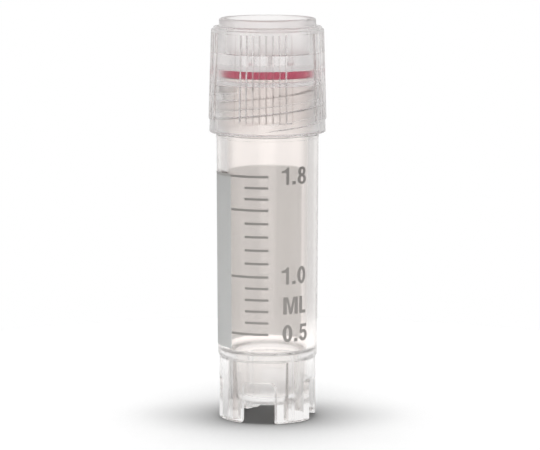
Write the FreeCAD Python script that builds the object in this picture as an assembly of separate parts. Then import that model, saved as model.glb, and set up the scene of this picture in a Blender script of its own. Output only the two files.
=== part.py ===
import FreeCAD, Part
import math
import os

# A freezer vial for small lab samples: a star-foot tube with a two-start thread outside its neck,
# a ribbed screw cap with an open recess on top, and the ring gasket that seals the two.
#
# Frame: millimetres, +Z up along the axis, origin at the centre of the foot ring, where it stands.
# The front is towards -Y. Bearings are degrees from the front, positive towards +X.

# ---- Driving dimensions: heights, from the bench up ----
skirt_height = 7.65            # foot ring, up to the step under the barrel
barrel_height = 26.13          # step to the underside of the collar
collar_height = 0.42           # raised ring that the cap comes down to
cap_gap = 0.22                 # cap's lower edge above the collar
neck_height = 6.87             # collar to the rim of the mouth
gasket_thickness = 0.96
cap_web = 1.77                 # plastic between the gasket and the recess floor
recess_depth = 4.2             # recess on top, open for a colour disc

# ---- Driving dimensions: the tube ----
barrel_radius = 6.05
barrel_wall = 1.24
collar_proud = 0.09
collar_edge = 0.14
neck_wall = 0.66
step_depth = 0.25              # skirt stands this far inside the barrel
skirt_wall = 0.96
foot_edge = 0.15

# ---- Driving dimensions: the bowl that closes the bore, inside the skirt ----
bowl_clearance = 1.8           # bowl's underside above the bench
bowl_wall = 0.62
bowl_radius = 4.4              # outside
bowl_corner = 1.5              # outside corner of the bowl's floor
bowl_shoulder = 0.75           # height of the slope from the bore into the bowl
skirt_root = 0.62              # plastic between the bore's shoulder and the slit round the bowl

# ---- Driving dimensions: slots and fins of the star foot ----
foot_count = 4
slot_bearing = -11.5           # centre of the front slot
slot_width = 3.95
slot_height = 4.9
slot_corner = 0.7
foot_corner = 0.55             # rounding of each foot's lower ends
fin_thickness = 0.8
fin_lift = 0.12                # fins end this far above the bench

# ---- Driving dimensions: the thread, two starts, right-handed ----
thread_starts = 2
thread_lead = 4.06
thread_height = 0.45
thread_clearance = 0.16        # crest to root, both ways
tube_ridge_base = 1.1
tube_ridge_crest = 0.5
cap_ridge_base = 0.9
cap_ridge_crest = 0.36
thread_front_offset = 2.64     # one tube ridge crosses the front this far below the rim
tube_thread_bottom = 0.95      # above the collar
tube_thread_top = 0.75         # below the rim
cap_thread_bottom = 0.45       # above the cap's lower edge
cap_thread_top = 2.25          # below the cap's ceiling
ridge_root_depth = 0.12        # how far each ridge runs into the wall that carries it

# ---- Driving dimensions: the cap ----
cap_wall = 0.87
cap_taper = 2.2                # degrees, each side
cap_edge = 0.18
mouth_flare = 0.22
shoulder_drop = 0.97           # top of the cap down to the shoulder round its rim
shoulder_edge = 0.22
ring_drop = 1.3                # top of the cap down to the top of the ring over the ribs
ring_height = 0.4
ring_edge = 0.1
rim_outer_radius = 5.765
recess_radius = 5.0
rim_rounding = 0.3
gasket_seat_clearance = 0.08
gasket_seat_depth = 0.35       # how far the seat's wall reaches below the rim of the tube

# ---- Driving dimensions: the ribs round the cap ----
rib_groups = 4
ribs_per_group = 9
rib_pitch = 6.57               # degrees
rib_groove = 1.5               # degrees left open between two ribs
rib_group_bearing = -4.5       # centre of the front group
rib_top_proud = 0.24
rib_bottom_proud = 0.15
rib_bottom_height = 1.45       # rib's end above the cap's lower edge
rib_end = 0.3                  # height of the sloping end
rib_root = 0.15                # how far each rib runs into the wall that carries it

# ---- Driving dimensions: the gasket ----
gasket_width = 1.0

# ---- Roundings ----
rounding_steps = 2             # straight cones that make up a turned rounding
longest_trim = 0.48            # share of a side that the trim of one corner may take

# ---- Heights worked out from the above ----
barrel_top = skirt_height + barrel_height
collar_top = barrel_top + collar_height
rim_top = collar_top + neck_height
cap_bottom = collar_top + cap_gap
cap_ceiling = rim_top + gasket_thickness
recess_floor = cap_ceiling + cap_web
cap_top = recess_floor + recess_depth
ring_top = cap_top - ring_drop
ring_bottom = ring_top - ring_height
shoulder_top = cap_top - shoulder_drop

# ---- Radii worked out from the above ----
bore_radius = barrel_radius - barrel_wall
neck_radius = bore_radius + neck_wall
tube_crest_radius = neck_radius + thread_height
cap_bore_radius = tube_crest_radius + thread_clearance
cap_crest_radius = neck_radius + thread_clearance
cap_skirt_radius = cap_bore_radius + cap_wall
gasket_radius = neck_radius
gasket_seat_radius = gasket_radius + gasket_seat_clearance
skirt_radius = barrel_radius - step_depth
skirt_inner_radius = skirt_radius - skirt_wall
bowl_inner_radius = bowl_radius - bowl_wall
bowl_inner_corner = bowl_corner - bowl_wall / 2


def bearing_to_angle(bearing):
    """Angle from +X, in degrees, of a bearing measured from the front."""
    return bearing - 90.0


def trimmed_outline(corners):
    """Closed wire through corners (x, z, size) in the XZ plane.

    A size of 0 leaves the corner sharp, and a size alone chamfers it. A fourth item, "arc" or
    "steps", rounds it to that radius instead, with one arc or with a few straight pieces.
    """
    count = len(corners)
    points = [FreeCAD.Vector(corner[0], 0.0, corner[1]) for corner in corners]
    arrivals = []
    departures = []
    trims = []
    for i in range(count):
        here = points[i]
        size = corners[i][2]
        if size <= 0.0:
            arrivals.append(here)
            departures.append(here)
            trims.append([])
            continue
        to_last = points[i - 1] - here
        to_next = points[(i + 1) % count] - here
        limit = longest_trim * min(to_last.Length, to_next.Length)
        is_round = len(corners[i]) > 3
        half_angle = to_last.getAngle(to_next) / 2.0
        reach = min(limit, size / math.tan(half_angle) if is_round else size)
        unit_last = to_last.normalize()
        unit_next = to_next.normalize()
        start = here + unit_last * reach
        end = here + unit_next * reach
        if is_round:
            radius = reach * math.tan(half_angle)
            inward = (unit_last + unit_next).normalize()
            middle = here + inward * (radius / math.sin(half_angle) - radius)
            arc = Part.Arc(start, middle, end)
        if is_round and corners[i][3] == "arc":
            trims.append([arc.toShape()])
        elif is_round:
            stops = arc.discretize(Number=rounding_steps + 1)
            trims.append([Part.makeLine(a, b) for a, b in zip(stops, stops[1:])])
        else:
            trims.append([Part.makeLine(start, end)])
        arrivals.append(start)
        departures.append(end)
    edges = []
    for i in range(count):
        edges.extend(trims[i])
        edges.append(Part.makeLine(departures[i], arrivals[(i + 1) % count]))
    return Part.Wire(edges)


def turned(corners, start_angle=0.0, sweep=360.0):
    """Solid of revolution about the axis, from an outline whose corners are (radius, height, size)."""
    face = Part.Face(trimmed_outline(corners))
    solid = face.revolve(FreeCAD.Vector(0, 0, 0), FreeCAD.Vector(0, 0, 1), sweep)
    solid.rotate(FreeCAD.Vector(0, 0, 0), FreeCAD.Vector(0, 0, 1), start_angle)
    return solid


def rotated(shape, angle):
    """Copy of a shape, turned about the axis."""
    copy = shape.copy()
    copy.rotate(FreeCAD.Vector(0, 0, 0), FreeCAD.Vector(0, 0, 1), angle)
    return copy


def helical_ridge(profile, start_height, end_height):
    """One thread ridge swept up the axis from +X. The profile is (radius, height) about the helix."""
    radius = profile[0][0]
    height = end_height - start_height
    helix = Part.makeHelix(thread_lead, height, radius)
    helix.translate(FreeCAD.Vector(0, 0, start_height))
    corners = [FreeCAD.Vector(r, 0.0, start_height + z) for r, z in profile]
    section = Part.makePolygon(corners + corners[:1])
    return Part.Wire(helix.Edges).makePipeShell([section], True, True)


def thread(root_radius, crest_radius, base, crest, front_height, bottom, top):
    """All starts of one thread, from bottom to top, its ends sloping away into the wall.

    A ridge crosses the front bearing at front_height. The base is the ridge's width at the root.
    """
    outward = 1.0 if crest_radius > root_radius else -1.0
    flank = (base - crest) / 2 / abs(crest_radius - root_radius)
    buried = root_radius - outward * ridge_root_depth
    buried_half = base / 2 + flank * ridge_root_depth
    profile = [(buried, -buried_half), (crest_radius, -crest / 2),
               (crest_radius, crest / 2), (buried, buried_half)]
    deepest = root_radius - outward * 2 * ridge_root_depth
    highest = crest_radius + outward * ridge_root_depth
    slope = abs(highest - root_radius)
    envelope = turned([(deepest, bottom, 0), (root_radius, bottom, 0), (highest, bottom + slope, 0),
                       (highest, top - slope, 0), (root_radius, top, 0), (deepest, top, 0)])
    start = bottom - 2 * buried_half
    end = top + 2 * buried_half
    turn_at_start = (start - front_height) / thread_lead * 360.0
    first = helical_ridge(profile, start, end)
    ridges = []
    for i in range(thread_starts):
        angle = bearing_to_angle(turn_at_start) + i * 360.0 / thread_starts
        ridges.append(rotated(first, angle).common(envelope))
    return ridges


def tube_thread():
    """Ridges outside the neck."""
    return thread(neck_radius, tube_crest_radius, tube_ridge_base, tube_ridge_crest,
                  rim_top - thread_front_offset, collar_top + tube_thread_bottom,
                  rim_top - tube_thread_top)


def cap_thread():
    """Ridges inside the cap, half a pitch above the tube's."""
    half_pitch = thread_lead / thread_starts / 2
    return thread(cap_bore_radius, cap_crest_radius, cap_ridge_base, cap_ridge_crest,
                  rim_top - thread_front_offset + half_pitch, cap_bottom + cap_thread_bottom,
                  cap_ceiling - cap_thread_top)


def slot_tool(bearing):
    """Arch that opens the skirt between two feet, rounding the feet's lower ends as well."""
    half = slot_width / 2
    side = half + 2 * foot_corner
    below = -foot_corner
    wire = trimmed_outline([
        (-side, below, 0), (-side, 0, 0), (-half, 0, foot_corner, "arc"),
        (-half, slot_height, slot_corner, "arc"), (half, slot_height, slot_corner, "arc"),
        (half, 0, foot_corner, "arc"), (side, 0, 0), (side, below, 0)])
    reach = 2 * skirt_radius
    prism = Part.Face(wire).extrude(FreeCAD.Vector(0, -reach, 0))
    core = Part.makeCylinder((bowl_radius + skirt_inner_radius) / 2, 2 * slot_height,
                             FreeCAD.Vector(0, 0, -slot_height / 2))
    return rotated(prism.cut(core), bearing)


def fin(bearing):
    """Radial web that ties the middle of one foot to the bowl."""
    inner = bowl_radius - bowl_wall / 2
    outer = skirt_inner_radius + skirt_wall / 2
    top = skirt_height - skirt_root / 2
    block = Part.makeBox(fin_thickness, outer - inner, top - fin_lift,
                         FreeCAD.Vector(-fin_thickness / 2, -outer, fin_lift))
    return rotated(block, bearing)


def make_tube():
    """Tube, moulded in one piece: neck, barrel, bowl and star foot."""
    shoulder_bottom = skirt_height + skirt_root - bowl_shoulder / 2
    bore_bottom = shoulder_bottom + bowl_shoulder
    slit_top = shoulder_bottom - skirt_root
    bowl_floor = bowl_clearance + bowl_wall
    body = turned([
        (skirt_inner_radius, 0, foot_edge), (skirt_radius, 0, foot_edge),
        (skirt_radius, skirt_height - step_depth, 0), (barrel_radius, skirt_height, 0),
        (barrel_radius, barrel_top, 0),
        (barrel_radius + collar_proud, barrel_top + collar_proud, 0),
        (barrel_radius + collar_proud, collar_top, collar_edge),
        (neck_radius, collar_top, 0), (neck_radius, rim_top, 0), (bore_radius, rim_top, 0),
        (bore_radius, bore_bottom, 0), (bowl_inner_radius, shoulder_bottom, 0),
        (bowl_inner_radius, bowl_floor, bowl_inner_corner, "steps"),
        (0, bowl_floor, 0), (0, bowl_clearance, 0),
        (bowl_radius, bowl_clearance, bowl_corner, "steps"),
        (bowl_radius, slit_top, 0), (skirt_inner_radius, slit_top, 0)])
    step = 360.0 / foot_count
    fins = [fin(slot_bearing + (i + 0.5) * step) for i in range(foot_count)]
    slots = [slot_tool(slot_bearing + i * step) for i in range(foot_count)]
    return body.multiFuse(fins).cut(slots).multiFuse(tube_thread()).removeSplitter()


def cap_radius_at(height):
    """Radius of the cap's plain tapered wall at a height."""
    return cap_skirt_radius - (height - cap_bottom) * math.tan(math.radians(cap_taper))


def rib(start_angle):
    """One upright rib, standing proud of the tapered wall, with a sloping lower end."""
    low = cap_bottom + rib_bottom_height
    high = ring_bottom + ring_height / 2
    return turned([(cap_radius_at(low) - rib_root, low, 0), (cap_radius_at(low), low, 0),
                   (cap_radius_at(low) + rib_bottom_proud, low + rib_end, rib_end),
                   (cap_radius_at(high) + rib_top_proud, high, 0),
                   (cap_radius_at(high) - rib_root, high, 0)], start_angle, rib_pitch - rib_groove)


def ribs():
    """Every rib, in groups with a smooth panel between each group and the next."""
    group_span = ribs_per_group * rib_pitch - rib_groove
    result = []
    for group in range(rib_groups):
        centre = rib_group_bearing + group * 360.0 / rib_groups
        first = bearing_to_angle(centre - group_span / 2)
        for i in range(ribs_per_group):
            result.append(rib(first + i * rib_pitch))
    return result


def make_cap():
    """Screw cap, moulded in one piece."""
    ring_radius = cap_radius_at(ring_bottom) + rib_top_proud
    seat_bottom = rim_top - gasket_seat_depth
    seat_slope = cap_bore_radius - gasket_seat_radius
    body = turned([
        (cap_bore_radius + mouth_flare, cap_bottom, 0), (cap_skirt_radius, cap_bottom, cap_edge),
        (cap_radius_at(ring_bottom), ring_bottom, 0), (ring_radius, ring_bottom, 0),
        (ring_radius, ring_top, ring_edge), (cap_radius_at(ring_top), ring_top, 0),
        (cap_radius_at(shoulder_top), shoulder_top, shoulder_edge),
        (rim_outer_radius, shoulder_top, 0), (rim_outer_radius, cap_top, rim_rounding, "steps"),
        (recess_radius, cap_top, rim_rounding, "steps"), (recess_radius, recess_floor, 0),
        (0, recess_floor, 0), (0, cap_ceiling, 0), (gasket_seat_radius, cap_ceiling, 0),
        (gasket_seat_radius, seat_bottom, 0), (cap_bore_radius, seat_bottom - seat_slope, 0),
        (cap_bore_radius, cap_bottom + mouth_flare, 0)])
    return body.multiFuse(ribs() + cap_thread()).removeSplitter()


def make_gasket():
    """Ring gasket, square in section, lying on the tube's rim under the cap's ceiling."""
    inner = gasket_radius - gasket_width
    return turned([(inner, rim_top, 0), (gasket_radius, rim_top, 0),
                   (gasket_radius, cap_ceiling, 0), (inner, cap_ceiling, 0)])


os.makedirs("parts", exist_ok=True)
make_tube().exportStep("parts/vial_tube.step")
make_cap().exportStep("parts/screw_cap.step")
make_gasket().exportStep("parts/ring_gasket.step")
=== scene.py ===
import math

import bmesh
import bpy
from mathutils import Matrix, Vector


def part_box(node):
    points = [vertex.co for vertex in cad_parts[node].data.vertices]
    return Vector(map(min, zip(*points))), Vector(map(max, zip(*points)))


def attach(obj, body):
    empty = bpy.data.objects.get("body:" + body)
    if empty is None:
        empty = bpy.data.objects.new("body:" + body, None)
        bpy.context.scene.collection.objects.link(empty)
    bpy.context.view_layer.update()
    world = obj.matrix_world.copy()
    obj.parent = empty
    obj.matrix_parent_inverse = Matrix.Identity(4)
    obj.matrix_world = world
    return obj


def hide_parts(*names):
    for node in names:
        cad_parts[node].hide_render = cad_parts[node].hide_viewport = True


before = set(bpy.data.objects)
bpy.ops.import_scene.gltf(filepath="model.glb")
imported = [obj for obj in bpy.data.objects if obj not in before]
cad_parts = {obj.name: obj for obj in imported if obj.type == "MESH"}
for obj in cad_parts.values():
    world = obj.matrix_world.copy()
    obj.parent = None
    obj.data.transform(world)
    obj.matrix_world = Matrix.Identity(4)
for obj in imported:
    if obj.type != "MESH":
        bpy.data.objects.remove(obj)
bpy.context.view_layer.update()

# A freezer vial as the camera sees it: clear tube with a printed scale and a writing patch, ribbed
# screw cap and red ring gasket.
#
# Lengths are millimetres in the part's own frame, and MM makes metres of them. Bearings are degrees
# from the front (-Y), positive towards +X. Names that end in low, high, top or floor are heights.
MM = 0.001


def node_heights(node):
    """Lowest and highest point of a CAD node."""
    low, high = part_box(node)
    return low[2] / MM, high[2] / MM


tube_low, rim_top = node_heights("vial_tube")
gasket_low, ceiling = node_heights("ring_gasket")
cap_low, cap_top = node_heights("screw_cap")

# ---- Tube: heights ----
skirt_top = tube_low + 7.65
step_low = skirt_top - 0.18            # step from the skirt out to the barrel
step_high = skirt_top + 0.02
barrel_top = skirt_top + 26.13
collar_low = barrel_top + 0.05
collar_top = barrel_top + 0.42
slit_top = skirt_top - 0.375           # slit between the bowl and the skirt
shoulder_high = skirt_top + 0.7        # slope from the bore into the bowl
shoulder_low = skirt_top + 0.5
bowl_low = tube_low + 1.8
bowl_floor = bowl_low + 0.62           # inside the bowl

# ---- Tube: radii ----
barrel_foot_radius = 5.97
barrel_top_radius = 6.09
collar_radius = 6.14
neck_radius = 5.47
bore_foot_radius = 4.72
bore_top_radius = 4.81
shoulder_inner_radius = 3.88
bowl_radius = 4.5
bowl_foot_radius = 4.25
bowl_inner_radius = 3.63
skirt_top_radius = 5.78
skirt_foot_radius = 5.85
skirt_inner_radius = 4.84

# ---- Tube: roundings ----
moulded_edge = 0.12
crisp_edge = 0.03
step_inner_edge = 0.08
outer_edge = 0.16
foot_inner_edge = 0.13
bore_shoulder_edge = 0.3
bowl_corner = 1.5
bowl_inner_corner = 1.19

# ---- Tube: mesh ----
tube_columns = 240
longest_step = 0.8                     # longer steps of the tube's line are split

# ---- Star foot ----
foot_count = 4
foot_turn = 360.0 / foot_count
slot_bearing = -11.5                   # middle of the front slot
slot_width = 3.95
slot_high = tube_low + 4.9
slot_corner = 0.7
slot_inner_radius = 4.62               # slots end here, in the slit round the bowl
foot_corner = 0.25
fin_half = 0.4                         # half a fin's thickness
fin_low = tube_low + 0.12
fin_high = skirt_top - 0.05
fin_inner_radius = 3.95
fin_outer_radius = 5.3
fin_shade = 0.5                        # share of shade on a fin, from fin_shade_radius out
fin_shade_radius = 4.1

# ---- Thread, right-handed ----
lead = 4.06
starts = 2
thread_front = rim_top - 2.64          # one ridge of the tube crosses the front here
runout_length = 0.5

# ---- Cap: heights ----
recess_floor = ceiling + 1.77
shoulder_top = cap_top - 0.97
ring_top = cap_top - 1.3               # fine ring over the ribs
ring_low = ring_top - 0.4
rib_low = cap_low + 1.45
rib_full = rib_low + 0.35              # ribs have their full depth from here up
seat_low = rim_top - 0.35              # wall round the gasket

# ---- Cap: radii, taper and roundings ----
cap_bore_radius = 6.08
cap_skirt_radius = 6.95
cap_taper = math.tan(math.radians(2.2))
mouth_flare = 0.22
ring_proud = 0.24
rim_outer_radius = 5.765
recess_radius = 5.0
seat_radius = 5.55
cap_foot_edge = 0.18
flare_edge = 0.05
seat_edge = 0.1
ring_edge = 0.1
ring_root_edge = 0.06
ring_top_edge = 0.08
shoulder_edge = 0.22
rim_edge = 0.3

# ---- Ribs ----
rib_groups = 4
ribs_per_group = 9
group_turn = 360.0 / rib_groups
rib_pitch = 6.57
rib_bearing = -4.5                     # middle of the front group
groove_half = 1.0                      # half a groove's width, in degrees
groove_shade = 0.5                     # share of shade along the bottom of a groove
panel_columns = 12                     # across the smooth panel between two groups
rib_low_proud = 0.15
rib_top_proud = 0.24
rib_crown = 0.03                       # share by which a rib's sides are lower than its middle

# ---- Gasket ----
gasket_width = 1.0
gasket_columns = 160
touch_gap = 0.01                       # dry faces that touch have a little air between them

# ---- Print: ink on the barrel ----
ink_back = 0.006                       # the film's two faces stand this far off the wall
ink_front = 0.02
patch_left, patch_right = -240.0, -45.5
patch_low, patch_high = tube_low + 8.9, tube_low + 29.8
patch_rows = 14
cell_width = 2.0                       # degrees
mark_half = 0.14                       # half a mark's thickness
mark_right = 0.9
short_mark_left = -26.5
long_mark_left = -45.1
top_mark_left = -92.0
text_size = 2.05
letter_gap = 0.11                      # gap after a character, in shares of its height
one_gap = 0.2                          # the same after a 1

# Millilitres and heights of the long marks; a short one stands at every tenth between them.
long_marks = ((1.8, 29.64), (1.5, 25.65), (1.0, 17.7), (0.5, 10.83))
tenth = 0.1

# Texts, with the bearing of their left end and the height that they stand on.
labels = (("1.8", 16.0, 28.68), ("1.0", 16.0, 16.8), ("ML", 18.0, 13.22), ("0.5", 17.2, 9.88))


# ------------------------------------------------------------------ profiles and lathed meshes

def rounded(corners, step=11.0, support=0.035):
    """Polyline through (radius, height, rounding) corners, each rounded by chords of step degrees.

    A point a little way past each end of a rounding, by support, keeps the long faces' shading flat.
    """
    count = len(corners)
    line = []
    for i, corner in enumerate(corners):
        here = Vector(corner[:2])
        size = corner[2] if len(corner) > 2 else 0.0
        if size <= 0.0 or i in (0, count - 1):
            line.append(tuple(here))
            continue
        last = Vector(corners[i - 1][:2]) - here
        following = Vector(corners[i + 1][:2]) - here
        half = last.angle(following) / 2.0
        reach = min(size / math.tan(half), 0.49 * last.length, 0.49 * following.length)
        radius = reach * math.tan(half)
        start = here + last.normalized() * reach
        end = here + following.normalized() * reach
        inward = (last.normalized() + following.normalized()).normalized()
        centre = here + inward * radius / math.sin(half)
        chords = max(2, math.ceil((180.0 - 2 * math.degrees(half)) / step))
        first = math.atan2(start.y - centre.y, start.x - centre.x)
        sweep = math.atan2(end.y - centre.y, end.x - centre.x) - first
        if sweep > math.pi:
            sweep -= 2 * math.pi
        if sweep < -math.pi:
            sweep += 2 * math.pi
        if last.length - reach > 3 * support:
            line.append(tuple(start + last.normalized() * support))
        for k in range(chords + 1):
            angle = first + sweep * k / chords
            line.append((centre.x + radius * math.cos(angle), centre.y + radius * math.sin(angle)))
        if following.length - reach > 3 * support:
            line.append(tuple(end + following.normalized() * support))
    return line


def steps(first, last, count):
    """Evenly spaced values from first up to, but not with, last."""
    return [first + (last - first) * k / count for k in range(count)]


def rows_between(low, high, step):
    """Evenly spaced values from low to high, about a step apart."""
    return [*steps(low, high, max(1, round((high - low) / step))), high]


def ease(share):
    """0 to 1 with a soft start and end."""
    share = min(1.0, max(0.0, share))
    return share * share * (3 - 2 * share)


def on_ring(radius, height, bearing):
    """Point in metres at a radius, a height and a bearing."""
    angle = math.radians(bearing)
    return (radius * math.sin(angle) * MM, -radius * math.cos(angle) * MM, height * MM)


def even_bearings(count):
    """Bearings spaced evenly all round."""
    return [i * 360.0 / count for i in range(count)]


def new_mesh(name, vertices, faces):
    """Mesh whose faces all look out of the solid."""
    mesh = bpy.data.meshes.new(name)
    mesh.from_pydata(vertices, [], faces)
    work = bmesh.new()
    work.from_mesh(mesh)
    bmesh.ops.recalc_face_normals(work, faces=work.faces)
    work.to_mesh(mesh)
    work.free()
    mesh.update()
    return mesh


def lathe(name, line, bearings, radius_at=None, closed=False, thread=None):
    """Mesh turned about the axis from a (radius, height) line. Rings at radius 0 become one point.

    radius_at(radius, height, bearing) may change the radius round the ring. A thread fills the one
    step of the line that starts at its lower end.
    """
    vertices = []
    rings = []
    for radius, height in line:
        if radius < 1e-6:
            rings.append([len(vertices)])
            vertices.append((0.0, 0.0, height * MM))
            continue
        ring = []
        for bearing in bearings:
            reach = radius_at(radius, height, bearing) if radius_at else radius
            ring.append(len(vertices))
            vertices.append(on_ring(reach, height, bearing))
        rings.append(ring)
    faces = []
    count = len(bearings)
    pairs = list(zip(rings, rings[1:]))
    if closed:
        pairs.append((rings[-1], rings[0]))
    for number, (low, high) in enumerate(pairs):
        if thread and thread.starts_at(line[number]):
            faces += thread.faces(bearings, low, high, vertices)
            continue
        for j in range(count):
            k = (j + 1) % count
            if len(low) == 1:
                faces.append((low[0], high[k], high[j]))
            elif len(high) == 1:
                faces.append((low[j], low[k], high[0]))
            else:
                faces.append((low[j], low[k], high[k], high[j]))
    return new_mesh(name, vertices, faces)


def prism(outline, inner, outer, bearing):
    """Closed solid from an (across, height) outline, drawn out along a bearing from inner to outer."""
    angle = math.radians(bearing)
    outward = Vector((math.sin(angle), -math.cos(angle), 0))
    across = Vector((math.cos(angle), math.sin(angle), 0))
    vertices = []
    for reach in (inner, outer):
        for x, z in outline:
            point = outward * reach + across * x + Vector((0, 0, z))
            vertices.append(tuple(point * MM))
    count = len(outline)
    faces = [tuple(range(count))[::-1], tuple(range(count, 2 * count))]
    for j in range(count):
        k = (j + 1) % count
        faces.append((j, k, count + k, count + j))
    return new_mesh("prism", vertices, faces)


def combine(base, tools, operation):
    """Mesh of base with every tool cut out of it or joined on to it."""
    scene = bpy.context.scene
    holder = bpy.data.objects.new("holder", base)
    scene.collection.objects.link(holder)
    helpers = []
    for i, tool in enumerate(tools):
        helper = bpy.data.objects.new(f"helper_{i}", tool)
        scene.collection.objects.link(helper)
        modifier = holder.modifiers.new(f"bool_{i}", "BOOLEAN")
        modifier.operation = operation
        modifier.solver = "MANIFOLD"
        modifier.object = helper
        helpers.append(helper)
    depsgraph = bpy.context.evaluated_depsgraph_get()
    mesh = bpy.data.meshes.new_from_object(holder.evaluated_get(depsgraph))
    for item in [holder] + helpers:
        bpy.data.objects.remove(item)
    return mesh


def smooth(mesh, angle=32.0):
    """Smooth shading, but for edges that bend by more than the angle."""
    mesh.polygons.foreach_set("use_smooth", [True] * len(mesh.polygons))
    mesh.set_sharp_from_angle(angle=math.radians(angle))
    mesh.update()


def shade(mesh, share_at):
    """Marks how far the plastic lies in shade, such as in a groove, for its material."""
    marks = mesh.attributes.new("shade", "FLOAT", "POINT")
    for vertex, mark in zip(mesh.vertices, marks.data):
        x, y, z = vertex.co / MM
        mark.value = share_at(math.hypot(x, y), z, math.degrees(math.atan2(x, -y)))


def piece(name, mesh, body, material, replaces=None):
    """Puts a mesh in the scene as a piece that rides on a body, in place of a CAD node where it has one."""
    item = bpy.data.objects.new(name, mesh)
    bpy.context.scene.collection.objects.link(item)
    mesh.materials.clear()
    mesh.materials.append(material)
    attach(item, body)
    if replaces:
        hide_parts(replaces)


# ------------------------------------------------------------------ thread

class Thread:
    """Ridges that wind round a cylinder, outside it (side 1) or inside it (side -1).

    middle is the height at which one ridge crosses the front. under and over say where its lower and its
    upper flank start and end, measured up from its middle. Every row of the mesh follows the ridge round,
    so its edges are clean lines.
    """

    flank_rows = 6
    plain_rows = 3
    end_gap = 0.03             # rows keep this far from the plain rings at both ends
    strong_shade = 0.9         # share of shade on the flank that shows as the darker line
    weak_shade = 0.35

    def __init__(self, radius, side, low, high, middle, under, over, height):
        self.radius, self.side, self.low, self.high = radius, side, low, high
        self.middle, self.under, self.over, self.height = middle, under, over, height
        self.pitch = lead / starts
        self.rows = [*steps(*under, self.flank_rows), *steps(under[1], over[0], self.plain_rows),
                     *steps(*over, self.flank_rows), *steps(over[1], under[0] + self.pitch, self.plain_rows)]

    def starts_at(self, point):
        """Whether a point of a section is the thread's lower end."""
        return math.dist(point, (self.radius, self.low)) < 0.001

    def runout(self, middle):
        """1 along the thread, falling to 0 near both its ends."""
        room = min(middle + self.under[0] - self.low, self.high - middle - self.over[1])
        return ease(room / runout_length)

    def rise(self, along, middle):
        """Height of the ridge over its cylinder."""
        up = ease((along - self.under[0]) / (self.under[1] - self.under[0]))
        down = ease((self.over[1] - along) / (self.over[1] - self.over[0]))
        return self.height * min(up, down) * self.runout(middle)

    def shade(self, radius, height, bearing):
        """Share of shade on the two flanks, 0 elsewhere."""
        on_thread = abs(radius - self.radius) < self.height + 0.01 and self.low < height < self.high
        if not on_thread:
            return 0.0
        half = self.pitch / 2
        along = (height - self.middle - lead * bearing / 360.0 + half) % self.pitch - half
        strong, weak = (self.over, self.under) if self.side > 0 else (self.under, self.over)
        for (low, high), share in ((strong, self.strong_shade), (weak, self.weak_shade)):
            if low + 0.001 < along < high - 0.001:
                return share * self.runout(height - along)
        return 0.0

    def column(self, bearing, vertices):
        """Adds the vertices up one bearing, and gives their indices by the number of their row."""
        start = self.middle + lead * bearing / 360.0
        first = math.floor((self.low - start) / self.pitch) - 1
        last = math.ceil((self.high - start) / self.pitch) + 1
        column = {}
        for turn in range(first, last + 1):
            for k, along in enumerate(self.rows):
                height = start + turn * self.pitch + along
                if self.low + self.end_gap < height < self.high - self.end_gap:
                    column[turn * len(self.rows) + k] = len(vertices)
                    radius = self.radius + self.side * self.rise(along, height - along)
                    vertices.append(on_ring(radius, height, bearing))
        return column

    def faces(self, bearings, low_ring, high_ring, vertices):
        """Faces between the plain rings at the thread's two ends."""
        columns = [self.column(bearing, vertices) for bearing in bearings]
        once_round = starts * len(self.rows)
        columns.append({row - once_round: index for row, index in columns[0].items()})
        low_ring = low_ring + low_ring[:1]
        high_ring = high_ring + high_ring[:1]
        faces = []
        for j, (left, right) in enumerate(zip(columns, columns[1:])):
            bottom = max(min(left), min(right))
            top = min(max(left), max(right))
            for row in range(bottom, top):
                faces.append((left[row], right[row], right[row + 1], left[row + 1]))
            right_foot = [right[row] for row in range(min(right), bottom + 1)]
            left_foot = [left[row] for row in range(bottom, min(left) - 1, -1)]
            faces.append((low_ring[j], low_ring[j + 1], *right_foot, *left_foot))
            left_head = [left[row] for row in range(max(left), top - 1, -1)]
            right_head = [right[row] for row in range(top, max(right) + 1)]
            faces.append((high_ring[j + 1], high_ring[j], *left_head, *right_head))
        return faces


tube_thread = Thread(neck_radius, side=1, low=collar_top + 0.6, high=rim_top - 0.4, middle=thread_front,
                     under=(-0.52, -0.4), over=(0.4, 0.54), height=0.45)
cap_thread = Thread(cap_bore_radius, side=-1, low=cap_low + 0.35, high=ceiling - 2.4,
                    middle=thread_front + lead / starts / 2,
                    under=(-0.46, -0.36), over=(0.36, 0.46), height=0.3)


# ------------------------------------------------------------------ tube

def tube_line():
    """Half the tube's section: from under the bowl, round the skirt, up the outside and down the bore."""
    return rounded([
        (0, bowl_low), (bowl_foot_radius, bowl_low, bowl_corner), (bowl_radius, slit_top, moulded_edge),
        (skirt_inner_radius, slit_top, moulded_edge), (skirt_inner_radius, tube_low, foot_inner_edge),
        (skirt_foot_radius, tube_low, outer_edge), (skirt_top_radius, step_low, step_inner_edge),
        (barrel_foot_radius, step_high, outer_edge), (barrel_top_radius, barrel_top, crisp_edge),
        (collar_radius, collar_low, crisp_edge), (collar_radius, collar_top, moulded_edge),
        (neck_radius, collar_top, moulded_edge),
        (neck_radius, tube_thread.low), (neck_radius, tube_thread.high),
        (neck_radius, rim_top, moulded_edge), (bore_top_radius, rim_top, moulded_edge),
        (bore_foot_radius, shoulder_high, bore_shoulder_edge),
        (shoulder_inner_radius, shoulder_low, bore_shoulder_edge),
        (bowl_inner_radius, bowl_floor, bowl_inner_corner), (0, bowl_floor)])


def divided(line):
    """The tube's line with its long steps split, but for the one that the thread fills."""
    result = []
    for (r0, z0), (r1, z1) in zip(line, line[1:]):
        parts = max(1, int(math.dist((r0, z0), (r1, z1)) // longest_step))
        if tube_thread.starts_at((r0, z0)):
            parts = 1
        result += [(r0 + (r1 - r0) * k / parts, z0 + (z1 - z0) * k / parts) for k in range(parts)]
    return [*result, line[-1]]


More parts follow.
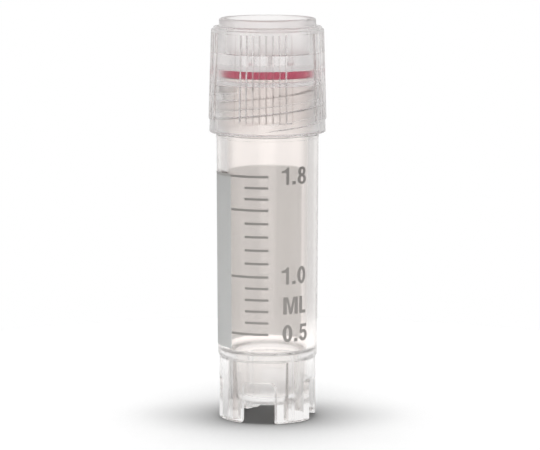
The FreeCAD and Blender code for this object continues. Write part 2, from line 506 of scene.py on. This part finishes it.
def slot_tool(bearing):
    """Slot between two feet, with a rounded top and flared lower ends; it spares the bowl."""
    # The bare numbers take the cutter clear of the tube, or well inside the core that is cut out of it.
    half = slot_width / 2
    flare = half + foot_corner + 0.6
    below = tube_low - 0.5
    right = [(flare, below, 0), (flare, tube_low, 0),
             (half, tube_low, foot_corner), (half, slot_high, slot_corner)]
    corners = right + [(-x, z, size) for x, z, size in reversed(right)]
    outline = rounded([corners[-1], *corners, corners[0]], step=12.0, support=1000.0)[1:-1]
    block = prism(outline, 2.0, 9.0, bearing)
    core_low, core_high = tube_low - 1.0, tube_low + 9.0
    core = lathe("core", [(0, core_low), (slot_inner_radius, core_low),
                          (slot_inner_radius, core_high), (0, core_high)], even_bearings(tube_columns))
    return combine(block, [core], "DIFFERENCE")


def fin_tool(bearing):
    """Thin web from the bowl to the inside of a foot."""
    outline = [(-fin_half, fin_low), (fin_half, fin_low), (fin_half, fin_high), (-fin_half, fin_high)]
    return prism(outline, fin_inner_radius, fin_outer_radius, bearing)


def tube_shade(radius, height, bearing):
    """Shade on the thread's flanks and on the fins."""
    if height > collar_top:
        return tube_thread.shade(radius, height, bearing)
    away = (bearing - slot_bearing) % foot_turn - foot_turn / 2
    beside_fin = abs(radius * math.sin(math.radians(away))) < fin_half + 0.02 and height < slit_top + 0.1
    return fin_shade if beside_fin and fin_shade_radius < radius < skirt_inner_radius + 0.06 else 0.0


def make_tube():
    body = lathe("tube_body", divided(tube_line()), even_bearings(tube_columns), thread=tube_thread)
    slots = [slot_tool(slot_bearing + i * foot_turn) for i in range(foot_count)]
    fins = [fin_tool(slot_bearing + (i + 0.5) * foot_turn) for i in range(foot_count)]
    body = combine(body, slots, "DIFFERENCE")
    body = combine(body, fins, "UNION")
    body.name = "tube_body"
    smooth(body)
    shade(body, tube_shade)
    return body


# ------------------------------------------------------------------ cap

def cap_wall_radius(height):
    """Outside of the cap without its ribs, which narrows towards the top."""
    return cap_skirt_radius - (height - cap_low) * cap_taper


def cap_wall_rows():
    """Heights of the rings up the cap's wall, close together where the ribs begin."""
    return [cap_low + 0.5, rib_low - 0.15, *rows_between(rib_low - 0.05, rib_full + 0.2, 0.06),
            *rows_between(rib_full + 0.8, ring_low - 0.5, 0.9), ring_low - 0.15]


def cap_line():
    """Half the cap's section: from the recess's floor, over the rim, down the outside and up the bore."""
    wall = cap_wall_radius
    return rounded([
        (0, recess_floor), (recess_radius, recess_floor, moulded_edge), (recess_radius, cap_top, rim_edge),
        (rim_outer_radius, cap_top, rim_edge), (rim_outer_radius, shoulder_top, moulded_edge),
        (wall(shoulder_top), shoulder_top, shoulder_edge), (wall(ring_top), ring_top, ring_top_edge),
        (wall(ring_top) + ring_proud, ring_top, ring_edge),
        (wall(ring_low) + ring_proud, ring_low, ring_edge), (wall(ring_low), ring_low, ring_root_edge),
        *[(wall(height), height) for height in reversed(cap_wall_rows())],
        (cap_skirt_radius, cap_low, cap_foot_edge), (cap_bore_radius + mouth_flare, cap_low, flare_edge),
        (cap_bore_radius, cap_low + mouth_flare, flare_edge),
        (cap_bore_radius, cap_thread.low), (cap_bore_radius, cap_thread.high),
        (cap_bore_radius, seat_low - (cap_bore_radius - seat_radius), seat_edge),
        (seat_radius, seat_low, seat_edge), (seat_radius, ceiling, seat_edge), (0, ceiling)])


def cap_bearings():
    """Ring positions: dense across each groove between the ribs, even across the smooth panels."""
    half = rib_pitch / 2
    flat = half - groove_half
    side = [flat, flat + groove_half / 3, flat + groove_half * 2 / 3]
    offsets = [-half, *[-offset for offset in reversed(side)], -flat / 3, flat / 3, *side]
    result = []
    for group in range(rib_groups):
        first = rib_bearing + group * group_turn - (ribs_per_group - 1) / 2 * rib_pitch
        for i in range(ribs_per_group):
            result += [first + i * rib_pitch + offset for offset in offsets]
        edge = first + (ribs_per_group - 1) * rib_pitch + half
        result += steps(edge, edge + group_turn - ribs_per_group * rib_pitch, panel_columns)
    return result


def rib_place(bearing):
    """Number of the rib at a bearing, from the middle of its group, and the distance from its middle."""
    local = (bearing - rib_bearing + group_turn / 2) % group_turn - group_turn / 2
    index = round(local / rib_pitch)
    return index, abs(local - index * rib_pitch)


def rib_share(bearing):
    """1 on top of a rib, 0 at the bottom of the groove beside it."""
    index, away = rib_place(bearing)
    if abs(index) > ribs_per_group // 2:
        return 0.0
    crown = 1.0 - rib_crown * (2 * away / rib_pitch) ** 2
    return min(1.0, (rib_pitch / 2 - away) / groove_half) * crown


def groove_share(bearing):
    """1 along the bottom of a groove beside a rib, 0 away from it."""
    index, away = rib_place(bearing)
    if abs(index) > ribs_per_group // 2 + 1:
        return 0.0
    return max(0.0, 1.0 - (rib_pitch / 2 - away) / groove_half)


def cap_radius_at(radius, height, bearing):
    """Radius with the ribs, which stand out further towards the top and sink in at their foot."""
    if radius > cap_wall_radius(height) - 0.02 and rib_low < height < ring_low + 0.02:
        rise = math.sin(min(1.0, (height - rib_low) / (rib_full - rib_low)) * math.pi / 2)
        up = (height - rib_low) / (ring_low - rib_low)
        proud = rib_low_proud + (rib_top_proud - rib_low_proud) * up
        return max(radius, cap_wall_radius(height) + proud * rise * rib_share(bearing))
    return radius


def cap_shade(radius, height, bearing):
    """Shade in the grooves between the ribs."""
    if radius < cap_wall_radius(height) - 0.05 or not rib_low < height < ring_low:
        return 0.0
    return groove_shade * groove_share(bearing)


def make_cap():
    mesh = lathe("cap_body", cap_line(), cap_bearings(), cap_radius_at, thread=cap_thread)
    smooth(mesh, 38.0)
    shade(mesh, cap_shade)
    return mesh


# ------------------------------------------------------------------ gasket

def make_gasket():
    low = gasket_low + touch_gap
    high = ceiling - touch_gap
    inner = neck_radius - gasket_width
    middle = neck_radius - gasket_width / 2
    line = rounded([
        (middle, low), (neck_radius, low, moulded_edge), (neck_radius, high, moulded_edge),
        (inner, high, moulded_edge), (inner, low, moulded_edge), (middle, low)])
    mesh = lathe("gasket_ring", line[:-1], even_bearings(gasket_columns), closed=True)
    smooth(mesh)
    return mesh


# ------------------------------------------------------------------ print

def barrel_radius_at(height):
    """Outside of the barrel, which widens a little towards the top."""
    share = (height - skirt_top) / (barrel_top - skirt_top)
    return barrel_foot_radius + (barrel_top_radius - barrel_foot_radius) * share


def film(cells):
    """Closed thin film on the barrel from cells of (bearing, height) corners that share their edges.

    Every corner has two vertices: one on the film's back and, numbered one higher, one on its front.
    An edge that no other cell runs along the other way is on the film's rim.
    """
    indices = {}
    vertices = []

    def back_vertex(bearing, height):
        key = (round(bearing, 4), round(height, 4))
        if key not in indices:
            indices[key] = len(vertices)
            for lift in (ink_back, ink_front):
                vertices.append(on_ring(barrel_radius_at(height) + lift, height, bearing))
        return indices[key]

    faces = []
    edges = []
    for cell in cells:
        back = [back_vertex(*corner) for corner in cell]
        faces.append([index + 1 for index in back])
        faces.append(back[::-1])
        edges += zip(back, back[1:] + back[:1])
    reversed_edges = {(b, a) for a, b in edges}
    faces += [(a + 1, a, b, b + 1) for a, b in edges if (a, b) not in reversed_edges]
    return vertices, faces


def join_films(name, films):
    """One mesh of several films."""
    vertices = []
    faces = []
    for some_vertices, some_faces in films:
        shift = len(vertices)
        vertices += some_vertices
        faces += [tuple(index + shift for index in face) for face in some_faces]
    return new_mesh(name, vertices, faces)


def field(left, right, low, high, rows=1):
    """Cells that fill a field between two bearings and two heights."""
    columns = max(1, round((right - left) / cell_width))
    cells = []
    for i in range(columns):
        a = left + (right - left) * i / columns
        b = left + (right - left) * (i + 1) / columns
        for k in range(rows):
            c = low + (high - low) * k / rows
            d = low + (high - low) * (k + 1) / rows
            cells.append([(a, c), (b, c), (b, d), (a, d)])
    return cells


def ellipse(centre, radii, first=0.0, last=360.0, step=15.0):
    """Points of an ellipse from one angle to another, in degrees."""
    count = max(2, round(abs(last - first) / step))
    angles = [math.radians(first + (last - first) * i / count) for i in range(count + 1)]
    return [(centre[0] + radii[0] * math.cos(a), centre[1] + radii[1] * math.sin(a)) for a in angles]


# Bold sans characters as closed loops, in shares of the character's height.
stroke = 0.22            # upright strokes
thin = 0.18              # strokes across


def glyph_one():
    return [[(0.27, 0), (0.46, 0), (0.46, 1), (0.32, 1), (0.25, 0.89), (0.13, 0.83), (0, 0.81),
             (0, 0.68), (0.27, 0.68)]]


def glyph_zero():
    middle = (0.315, 0.5)
    return [ellipse(middle, (0.315, 0.51))[:-1], ellipse(middle, (0.315 - stroke, 0.51 - thin))[:-1]]


def glyph_five():
    middle = (0.315, 0.33)
    outer = ellipse(middle, (0.325, 0.34), 112, -168)
    inner = ellipse(middle, (0.325 - stroke, 0.34 - thin), -168, 140)
    return [[(0.1, 1), (0.58, 1), (0.58, 1 - thin), (0.24, 1 - thin)] + outer + inner + [(0.03, 0.49)]]


def glyph_eight():
    waist = 0.53
    upper, upper_radii = (0.33, 0.74), (0.29, 0.27)
    lower, lower_radii = (0.33, 0.28), (0.33, 0.29)
    high = math.degrees(math.asin((waist - upper[1]) / upper_radii[1]))
    low = math.degrees(math.asin((waist - lower[1]) / lower_radii[1]))
    outline = (ellipse(upper, upper_radii, high, 180 - high)
               + ellipse(lower, lower_radii, 180 - low, 360 + low))
    bar = 0.14
    holes = [ellipse(middle, (radii[0] - stroke, radii[1] - bar))[:-1]
             for middle, radii in ((upper, upper_radii), (lower, lower_radii))]
    return [outline] + holes


def glyph_m():
    wide = 0.95
    half = [(0, 0), (0, 1), (0.3, 1), (wide / 2, 0.36)]
    inside = [(stroke, 0), (stroke, 0.76), (wide / 2 - 0.08, 0)]
    mirrored = [(wide - x, y) for x, y in reversed(half[:-1])]
    mirrored_inside = [(wide - x, y) for x, y in inside]
    return [half + mirrored + mirrored_inside + inside[::-1]]


def glyph_l():
    return [[(0, 0), (0, 1), (stroke, 1), (stroke, thin), (0.48, thin), (0.48, 0)]]


def glyph_point():
    return [[(0, 0), (0, 0.2), (0.24, 0.2), (0.24, 0)]]


alphabet = {"0": glyph_zero(), "1": glyph_one(), "5": glyph_five(), "8": glyph_eight(),
            "M": glyph_m(), "L": glyph_l(), ".": glyph_point()}


def filled(loops):
    """Cells that fill closed loops; a loop inside another is a hole."""
    curve = bpy.data.curves.new("glyph", "CURVE")
    curve.dimensions = "2D"
    curve.fill_mode = "BOTH"
    for loop in loops:
        spline = curve.splines.new("POLY")
        spline.points.add(len(loop) - 1)
        for point, (x, y) in zip(spline.points, loop):
            point.co = (x, y, 0, 1)
        spline.use_cyclic_u = True
    holder = bpy.data.objects.new("glyph", curve)
    bpy.context.scene.collection.objects.link(holder)
    depsgraph = bpy.context.evaluated_depsgraph_get()
    mesh = bpy.data.meshes.new_from_object(holder.evaluated_get(depsgraph))
    bpy.data.objects.remove(holder)
    return [[tuple(mesh.vertices[i].co[:2]) for i in face.vertices] for face in mesh.polygons]


def lettering(text, left, low, size):
    """Cells of a row of characters that starts at a bearing and stands on a height."""
    turn = math.degrees(size / barrel_radius_at(low))
    cells = []
    at = left
    for character in text:
        loops = alphabet[character]
        width = max(x for loop in loops for x, y in loop)
        for cell in filled(loops):
            cells.append([(at + x * turn, low + y * size) for x, y in cell])
        at += (width + (one_gap if character == "1" else letter_gap)) * turn
    return cells


def make_patch():
    cells = field(patch_left, patch_right, patch_low, patch_high, patch_rows)
    return join_films("writing_patch", [film(cells)])


def scale_marks():
    """(height, left end) of every mark of the scale, from the top down."""
    marks = []
    for (volume, height), (next_volume, next_height) in zip(long_marks, long_marks[1:]):
        heights = steps(height, next_height, round((volume - next_volume) / tenth))
        marks += [(heights[0], long_mark_left), *[(low, short_mark_left) for low in heights[1:]]]
    marks.append((long_marks[-1][1], long_mark_left))
    return [(marks[0][0], top_mark_left), *marks[1:]]


def make_scale():
    films = [film(field(left, mark_right, tube_low + height - mark_half, tube_low + height + mark_half))
             for height, left in scale_marks()]
    films += [film(lettering(text, left, tube_low + low, text_size)) for text, left, low in labels]
    return join_films("scale_print", films)


# ------------------------------------------------------------------ materials

def node(tree, kind, inputs=None, **properties):
    """New shader node. inputs sets its sockets, by name or number, or links them to an output."""
    item = tree.nodes.new(kind)
    for key, value in properties.items():
        setattr(item, key, value)
    for key, source in (inputs or {}).items():
        if isinstance(source, bpy.types.NodeSocket):
            tree.links.new(source, item.inputs[key])
        else:
            item.inputs[key].default_value = source
    return item


def new_material(name):
    material = bpy.data.materials.new(name)
    material.use_nodes = True
    material.node_tree.nodes.clear()
    return material, material.node_tree


def maths(tree, operation, first, second, **properties):
    """Result of a sum on two sockets or numbers."""
    return node(tree, "ShaderNodeMath", {0: first, 1: second}, operation=operation, **properties).outputs[0]


def remap(tree, value, source, result, **properties):
    """Value moved from one range to another, and held at its ends."""
    ranges = dict(zip(("From Min", "From Max", "To Min", "To Max"), (*source, *result)))
    return node(tree, "ShaderNodeMapRange", {"Value": value, **ranges}, **properties).outputs["Result"]


def blend_colours(tree, share, first, second, blend="MIX"):
    """The first colour where share is 0, the second, or its product with the first, where share is 1."""
    inputs = {0: share, 6: first, 7: second}
    return node(tree, "ShaderNodeMix", inputs, data_type="RGBA", blend_type=blend).outputs[2]


def blend_shaders(tree, share, first, second):
    """The first shader where share is 0, the second where it is 1."""
    return node(tree, "ShaderNodeMixShader", {0: share, 1: first, 2: second}).outputs[0]


def core_masks(tree, place, core):
    """1 inside the core's radius, and 1 between its heights."""
    edge = 0.05 * MM
    skin, low, high = (core[key] * MM for key in ("radius", "low", "high"))
    across = node(tree, "ShaderNodeVectorMath", {0: place, 1: (1, 1, 0)}, operation="MULTIPLY").outputs[0]
    radius = node(tree, "ShaderNodeVectorMath", {0: across}, operation="LENGTH").outputs["Value"]
    height = node(tree, "ShaderNodeSeparateXYZ", {0: place}).outputs["Z"]
    inside = remap(tree, radius, (skin - edge, skin + edge), (1.0, 0.0))
    over = remap(tree, height, (low, low + edge), (0.0, 1.0))
    under = remap(tree, height, (high - edge, high), (1.0, 0.0))
    return inside, maths(tree, "MULTIPLY", over, under)


def polypropylene(name, tint, roughness, grain, milk, milk_colour, absorb, absorb_density,
                  scatter_density, core):
    """Natural polypropylene: clear plastic with a little haze at its surface and in its depth.

    Between the core's heights the plastic has a tint of its own, lighter in the tube's foot as painted
    light, inside its radius a finish of its own, and where both hold, more haze. The mesh's shade attribute
    darkens the tint with painted shade.
    """
    material, tree = new_material(name)
    place = node(tree, "ShaderNodeTexCoord").outputs["Object"]
    inside, between = core_masks(tree, place, core)
    fine = node(tree, "ShaderNodeTexNoise", {"Vector": place, "Scale": grain, "Detail": 3.0})
    cloud = node(tree, "ShaderNodeTexNoise", {"Vector": place, "Scale": 260.0, "Detail": 2.0})
    uneven = remap(tree, cloud.outputs["Fac"], (0.0, 1.0), (0.8, 1.2))
    bump = node(tree, "ShaderNodeBump",
                {"Height": fine.outputs["Fac"], "Strength": 0.12, "Distance": 0.03 * MM})
    finish = remap(tree, inside, (0.0, 1.0), (roughness, core["roughness"]))
    mark = node(tree, "ShaderNodeAttribute", attribute_name="shade")
    colour = blend_colours(tree, between, (*tint, 1), (*core["tint"], 1))
    glass = node(tree, "ShaderNodeBsdfPrincipled", {
        "IOR": 1.49,
        "Transmission Weight": 1.0,
        "Base Color": blend_colours(tree, mark.outputs["Fac"], colour, (*shade_colour, 1), "MULTIPLY"),
        "Roughness": maths(tree, "MULTIPLY", finish, uneven),
        "Normal": bump.outputs["Normal"]})
    haze = node(tree, "ShaderNodeBsdfTranslucent", {"Color": (*milk_colour, 1)})
    chalk = node(tree, "ShaderNodeBsdfDiffuse", {"Color": (*milk_colour, 1)})
    hazy = remap(tree, maths(tree, "MULTIPLY", inside, between), (0.0, 1.0), (milk, core["milk"]))
    surface = blend_shaders(tree, maths(tree, "MULTIPLY", hazy, uneven), glass.outputs[0],
                            blend_shaders(tree, 0.5, haze.outputs[0], chalk.outputs[0]))
    depth = node(tree, "ShaderNodeVolumeAbsorption", {"Color": (*absorb, 1), "Density": absorb_density})
    mist = node(tree, "ShaderNodeVolumeScatter",
                {"Color": (1, 1, 1, 1), "Density": scatter_density, "Anisotropy": 0.3})
    volume = node(tree, "ShaderNodeAddShader", {0: depth.outputs[0], 1: mist.outputs[0]})
    node(tree, "ShaderNodeOutputMaterial", {"Surface": surface, "Volume": volume.outputs[0]})
    return material


def opaque(name, colour, roughness, grain, spread=0.08, specular=0.5, let_through=0.0, gaps=0.0):
    """Ink or rubber with an uneven tone and a fine grain.

    let_through is the share of it that is lit from behind, and gaps the share that isn't there.
    """
    material, tree = new_material(name)
    place = node(tree, "ShaderNodeTexCoord").outputs["Object"]
    noise = node(tree, "ShaderNodeTexNoise", {"Vector": place, "Scale": grain, "Detail": 4.0}).outputs["Fac"]
    tone = node(tree, "ShaderNodeValToRGB", {"Fac": noise})
    for stop, share in zip(tone.color_ramp.elements, (1 - spread, 1 + spread)):
        stop.color = (*[min(1.0, channel * share) for channel in colour], 1)
    bump = node(tree, "ShaderNodeBump", {"Height": noise, "Strength": 0.1, "Distance": 0.02 * MM})
    surface = node(tree, "ShaderNodeBsdfPrincipled", {
        "Base Color": tone.outputs["Color"], "Normal": bump.outputs["Normal"],
        "Roughness": roughness, "Specular IOR Level": specular}).outputs[0]
    if let_through:
        through = node(tree, "ShaderNodeBsdfTranslucent", {"Color": tone.outputs["Color"]})
        surface = blend_shaders(tree, let_through, surface, through.outputs[0])
    if gaps:
        surface = blend_shaders(tree, gaps, surface, node(tree, "ShaderNodeBsdfTransparent").outputs[0])
    node(tree, "ShaderNodeOutputMaterial", {"Surface": surface})
    return material


# Full shade multiplies a plastic's tint by its colour. A core is where a plastic looks different.
shade_colour = (0.5, 0.44, 0.42)
milky_tint = (1.0, 0.984, 0.978)
# The bowl core's tint, lighter than the tube's own, is painted light that brightens the foot.
bowl_core = {"radius": 4.6, "low": tube_low - 1.0, "high": shoulder_low,
             "roughness": 0.15, "milk": 0.01, "tint": (0.997, 0.985, 0.977)}
web_core = {"radius": 6.15, "low": ceiling - 0.1, "high": cap_top + 1.0,
            "roughness": 0.3, "milk": 0.03, "tint": milky_tint}

tube_plastic = polypropylene(
    "tube_plastic", tint=(0.992, 0.957, 0.937), roughness=0.06, grain=9000.0,
    milk=0.01, milk_colour=(0.95, 0.92, 0.90),
    absorb=(0.80, 0.785, 0.78), absorb_density=8.0, scatter_density=12.0, core=bowl_core)
cap_plastic = polypropylene(
    "cap_plastic", tint=milky_tint, roughness=0.13, grain=7000.0,
    milk=0.01, milk_colour=(0.93, 0.88, 0.87),
    absorb=(0.90, 0.76, 0.75), absorb_density=5.0, scatter_density=24.0, core=web_core)
silicone = opaque("gasket_silicone", (0.64, 0.03, 0.115), roughness=0.45, grain=4000.0)
grey_ink = opaque("scale_ink", (0.46, 0.435, 0.415), roughness=0.5, grain=6000.0, specular=0.2)
white_ink = opaque("patch_ink", (0.925, 0.937, 0.935), roughness=0.6, grain=5000.0, spread=0.03,
                   specular=0.1, let_through=0.5, gaps=0.32)

# ------------------------------------------------------------------ the pieces

piece("tube_body", make_tube(), "tube", tube_plastic, "vial_tube")
piece("cap_body", make_cap(), "cap", cap_plastic, "screw_cap")
piece("gasket_ring", make_gasket(), "gasket", silicone, "ring_gasket")
piece("writing_patch", make_patch(), "tube", white_ink)
piece("scale_print", make_scale(), "tube", grey_ink)

# ------------------------------------------------------------------ floor, world, lamps, camera

# ---- Floor ----
floor_radius = 70.0
floor_drop = 0.02
floor_grey = 0.95
# Round the foot the floor's grey darkens by ambient occlusion: a painted contact shadow.
painted_shadow_grey = 0.31                    # in the dark of the contact shadow
painted_shadow_reach = 32.0
painted_shadow_range = (0.5, 0.97)            # share of open sky where the shadow is darkest, and where it ends

# Through the clear plastic the table has a painted glow of its own, by the distance from the axis: one
# under the foot and one beyond it. The one beyond is dimmer near the foot, as a painted shadow of the vial.
under_range, under_glow = (6.2, 7.2), (0.95, 0.0)
beyond_range, beyond_glow = (7.5, 50.0), (0.6, 1.2)

# ---- World: how bright it is ----
backdrop_level = 1.0                   # for the camera, and through the plastic
diagonal_level = 0.72                  # through the plastic, between the four main directions
gloss_level = 0.74                     # in reflections
inner_level = 0.9                      # on what the light reaches through the plastic
ambient_level = 0.1                    # on the rest, from all round
back_level = 0.6                       # on the rest, from behind
diagonal_range = (0.22, 0.42)          # x times y of a direction, from a main one to a diagonal
back_range = (0.3, 0.9)                # y of a direction, from the sides to the back

# ---- Lamps ----
# Azimuth (0 is the front, positive to the right) and elevation in degrees, energy, spread in degrees,
# and whether the lamp is seen through the clear plastic.
lamps = {
    "overhead_right": (90, 82, 0.97, 12, False),
    "overhead_left": (-90, 82, 0.97, 12, False),
    "overhead_front": (0, 76, 0.35, 16, False),
    "overhead_back": (180, 80, 0.3, 14, False),
    "front": (0, 20, 0.62, 70, True),
    "back": (180, 20, 0.5, 70, False),
}

# ---- Camera ----
lens = 191.7
target_height = tube_low + 23.15
camera_distance = 344.75
camera_elevation = 7.77
camera_shift = 0.0046


def grey(level):
    """Colour of one level in all its channels."""
    return (level, level, level, 1)


def floor_material():
    """White paint with a painted contact shadow round the foot, and a painted glow where clear plastic shows
    it.
    """
    material, tree = new_material("floor")
    near = node(tree, "ShaderNodeAmbientOcclusion", {"Distance": painted_shadow_reach * MM}, samples=16)
    # Painted shadow: where ambient occlusion closes in, the floor's colour goes to its darker grey.
    lit = remap(tree, near.outputs["AO"], painted_shadow_range, (0.0, 1.0))
    colour = blend_colours(tree, lit, grey(painted_shadow_grey), grey(floor_grey))
    paint = node(tree, "ShaderNodeBsdfDiffuse", {"Color": colour})

    path = node(tree, "ShaderNodeLightPath").outputs
    either = maths(tree, "MAXIMUM", path["Is Transmission Ray"], path["Is Glossy Ray"])
    through_plastic = maths(tree, "SUBTRACT", either, path["Diffuse Depth"], use_clamp=True)

    place = node(tree, "ShaderNodeTexCoord").outputs["Object"]
    away = node(tree, "ShaderNodeVectorMath", {0: place}, operation="LENGTH").outputs["Value"]
    beyond = remap(tree, away, [radius * MM for radius in beyond_range], beyond_glow)
    under = remap(tree, away, [radius * MM for radius in under_range], under_glow)
    glow = node(tree, "ShaderNodeEmission", {"Strength": maths(tree, "MAXIMUM", beyond, under)})
    surface = blend_shaders(tree, through_plastic, paint.outputs[0], glow.outputs[0])
    node(tree, "ShaderNodeOutputMaterial", {"Surface": surface})
    return material


def make_floor():
    """White round table top under the vial."""
    ring = [(x, y, 0.0) for x, y in ellipse((0, 0), (floor_radius * MM, floor_radius * MM), step=3.75)[:-1]]
    mesh = bpy.data.meshes.new("floor")
    mesh.from_pydata(ring, [], [tuple(range(len(ring)))])
    mesh.materials.append(floor_material())
    item = bpy.data.objects.new("floor", mesh)
    item.location.z = (tube_low - floor_drop) * MM
    bpy.context.scene.collection.objects.link(item)


def make_world():
    """White backdrop, whose brightness depends on what sees it or is lit by it."""
    world = bpy.data.worlds.new("studio")
    bpy.context.scene.world = world
    world.use_nodes = True
    tree = world.node_tree
    tree.nodes.clear()
    path = node(tree, "ShaderNodeLightPath").outputs
    direction = node(tree, "ShaderNodeTexCoord").outputs["Generated"]
    towards = node(tree, "ShaderNodeSeparateXYZ", {0: direction}).outputs

    product = maths(tree, "MULTIPLY", towards["X"], towards["Y"])
    diagonal = node(tree, "ShaderNodeMath", {0: product}, operation="ABSOLUTE").outputs[0]
    seen = remap(tree, diagonal, diagonal_range, (backdrop_level, diagonal_level),
                 interpolation_type="SMOOTHSTEP")
    soft = remap(tree, towards["Y"], back_range, (ambient_level, back_level),
                 interpolation_type="SMOOTHSTEP")

    def choose(flag, otherwise, value):
        """value for the rays that have the flag, otherwise for the rest."""
        inputs = {0: path[flag], 2: otherwise, 3: value}
        return node(tree, "ShaderNodeMix", inputs, data_type="FLOAT", clamp_factor=True).outputs[0]

    level = choose("Is Glossy Ray", 0.0, gloss_level)
    level = choose("Is Transmission Ray", level, seen)
    level = choose("Diffuse Depth", level, choose("Transmission Depth", soft, inner_level))
    level = choose("Is Camera Ray", level, backdrop_level)
    background = node(tree, "ShaderNodeBackground", {"Color": grey(1.0), "Strength": level})
    node(tree, "ShaderNodeOutputWorld", {"Surface": background.outputs[0]})


def direction_to(azimuth, elevation):
    """Unit vector towards an azimuth and an elevation in degrees."""
    a, e = math.radians(azimuth), math.radians(elevation)
    return Vector((math.sin(a) * math.cos(e), -math.cos(a) * math.cos(e), math.sin(e)))


def place_facing(item, back):
    """Turns a lamp or camera so that it looks against the direction back, and puts it in the scene."""
    item.rotation_mode = "QUATERNION"
    item.rotation_quaternion = back.to_track_quat("Z", "Y")
    bpy.context.scene.collection.objects.link(item)


def make_lamp(name, azimuth, elevation, energy, spread, seen_through):
    data = bpy.data.lights.new(name, "SUN")
    data.energy = energy
    data.angle = math.radians(spread)
    lamp = bpy.data.objects.new(name, data)
    lamp.visible_glossy = False
    lamp.visible_transmission = seen_through
    place_facing(lamp, direction_to(azimuth, elevation))


def make_camera():
    data = bpy.data.cameras.new("camera")
    data.lens = lens
    data.sensor_width = 36.0
    data.clip_start = 0.01
    data.clip_end = 50.0
    data.shift_x = camera_shift
    camera = bpy.data.objects.new("camera", data)
    back = direction_to(0, camera_elevation)
    camera.location = Vector((0, 0, target_height * MM)) + back * (camera_distance * MM)
    place_facing(camera, back)
    bpy.context.scene.camera = camera


make_floor()
make_world()
for name, settings in lamps.items():
    make_lamp(name, *settings)
make_camera()

bpy.context.scene.view_settings.view_transform = "Standard"

# Light crosses many walls of clear plastic here and scatters inside them.
cycles = bpy.context.scene.cycles
cycles.max_bounces = 32
cycles.transmission_bounces = 32
cycles.glossy_bounces = 16
cycles.volume_bounces = 6
